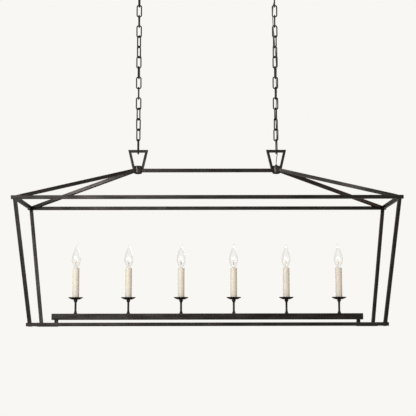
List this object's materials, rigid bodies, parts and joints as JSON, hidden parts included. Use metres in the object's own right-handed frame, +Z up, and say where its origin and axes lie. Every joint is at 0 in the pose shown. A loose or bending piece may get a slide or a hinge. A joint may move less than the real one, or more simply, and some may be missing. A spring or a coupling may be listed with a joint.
{
  "type": "linear lantern pendant",
  "caption": "Open rectangular lantern frame of square tube that tapers to its foot, hung on two chains, with a row of candle lights on a bar.",
  "frame": {"origin": "on the ceiling plane, midway between the two ceiling fixings", "axes": "+Z up into the ceiling, +X along the lantern from the plain chain to the chain with the cord, -Y towards the viewer"},
  "size_m": [1.372, 0.3308, 1.2917],
  "materials": {
    "aged_iron": "satin aged iron",
    "candle_cream": "satin",
    "socket_plastic": "matte",
    "cord_sheath": "clear silvery",
    "lead_sheath": "matte",
    "zinc_steel": "zinc plated",
    "ground_green": "satin",
    "bulb_brass": "bright",
    "clear_glass": "clear"
  },
  "bodies": {
    "ceiling": {"ceiling_brackets": "zinc_steel", "bracket_nipples": "zinc_steel", "nipple_nuts": "zinc_steel", "ground_screws": "ground_green", "canopies": "aged_iron", "canopy_loop_left": "aged_iron", "canopy_loop_right": "aged_iron", "collar_rings": "aged_iron", "supply_cord_top": "cord_sheath"},
    "right_top_link": {"top_link_right": "aged_iron"},
    "right_chain": {"chain_right": "aged_iron", "supply_cord": "cord_sheath"},
    "left_top_link": {"top_link_left": "aged_iron"},
    "left_chain": {"chain_left": "aged_iron"},
    "lantern": {"bar_arms": "aged_iron", "bar_risers": "aged_iron", "bottom_end_rail_left": "aged_iron", "bottom_end_rail_right": "aged_iron", "bottom_rail_back": "aged_iron", "bottom_rail_front": "aged_iron", "candle_bar": "aged_iron", "candle_bar_cover": "aged_iron", "candle_sleeves": "candle_cream", "candle_sockets": "socket_plastic", "candle_stems": "aged_iron", "cord_bushing": "socket_plastic", "drip_pans": "aged_iron", "hanger_left": "aged_iron", "hanger_right": "aged_iron", "hip_rafter_back_left": "aged_iron", "hip_rafter_back_right": "aged_iron", "hip_rafter_front_left": "aged_iron", "hip_rafter_front_right": "aged_iron", "hub_caps": "aged_iron", "hub_left": "aged_iron", "hub_right": "aged_iron", "post_back_left": "aged_iron", "post_back_right": "aged_iron", "post_front_left": "aged_iron", "post_front_right": "aged_iron", "rail_plugs": "aged_iron", "ridge_tube": "aged_iron", "supply_cord_foot": "cord_sheath", "top_end_rail_left": "aged_iron", "top_end_rail_right": "aged_iron", "top_rail_back": "aged_iron", "top_rail_front": "aged_iron", "wiring": "lead_sheath"},
    "bulb_1": {"bulb_base_1": "bulb_brass", "bulb_glass_1": "clear_glass"},
    "bulb_2": {"bulb_base_2": "bulb_brass", "bulb_glass_2": "clear_glass"},
    "bulb_3": {"bulb_base_3": "bulb_brass", "bulb_glass_3": "clear_glass"},
    "bulb_4": {"bulb_base_4": "bulb_brass", "bulb_glass_4": "clear_glass"},
    "bulb_5": {"bulb_base_5": "bulb_brass", "bulb_glass_5": "clear_glass"},
    "bulb_6": {"bulb_base_6": "bulb_brass", "bulb_glass_6": "clear_glass"}
  },
  "joints": [
    {"name": "front_swing", "type": "hinge", "parent": "ceiling", "child": "right_top_link", "pos_m": [0.254, 0, -0.06055], "axis": [1, 0, 0], "range_deg": [-12, 12], "deforming": ["supply_cord_top"]},
    {"name": "side_swing", "type": "hinge", "parent": "right_top_link", "child": "right_chain", "pos_m": [0.254, 0, -0.09955], "axis": [0, 1, 0], "range_deg": [-12, 12]},
    {"name": "lantern_level", "type": "hinge", "parent": "right_chain", "child": "lantern", "pos_m": [0.254, 0, -0.65985], "axis": [0, 1, 0], "range_deg": [-12, 12], "deforming": ["supply_cord_foot"]},
    {"name": "left_front_swing", "type": "hinge", "parent": "ceiling", "child": "left_top_link", "pos_m": [-0.254, 0, -0.06055], "axis": [1, 0, 0], "range_deg": [-12, 12]},
    {"name": "left_side_swing", "type": "hinge", "parent": "left_top_link", "child": "left_chain", "pos_m": [-0.254, 0, -0.09955], "axis": [0, 1, 0], "range_deg": [-12, 12]},
    {"name": "bulb_1_turn", "type": "hinge", "parent": "lantern", "child": "bulb_1", "pos_m": [-0.47625, 0, -1.094], "axis": [0, 0, 1], "continuous": true},
    {"name": "bulb_2_turn", "type": "hinge", "parent": "lantern", "child": "bulb_2", "pos_m": [-0.28575, 0, -1.094], "axis": [0, 0, 1], "continuous": true},
    {"name": "bulb_3_turn", "type": "hinge", "parent": "lantern", "child": "bulb_3", "pos_m": [-0.09525, 0, -1.094], "axis": [0, 0, 1], "continuous": true},
    {"name": "bulb_4_turn", "type": "hinge", "parent": "lantern", "child": "bulb_4", "pos_m": [0.09525, 0, -1.094], "axis": [0, 0, 1], "continuous": true},
    {"name": "bulb_5_turn", "type": "hinge", "parent": "lantern", "child": "bulb_5", "pos_m": [0.28575, 0, -1.094], "axis": [0, 0, 1], "continuous": true},
    {"name": "bulb_6_turn", "type": "hinge", "parent": "lantern", "child": "bulb_6", "pos_m": [0.47625, 0, -1.094], "axis": [0, 0, 1], "continuous": true}
  ],
  "couplings": [
    {"joint": "lantern_level", "follows": "side_swing", "ratio": -1},
    {"joint": "left_front_swing", "follows": "front_swing", "ratio": 1},
    {"joint": "left_side_swing", "follows": "side_swing", "ratio": 1}
  ]
}
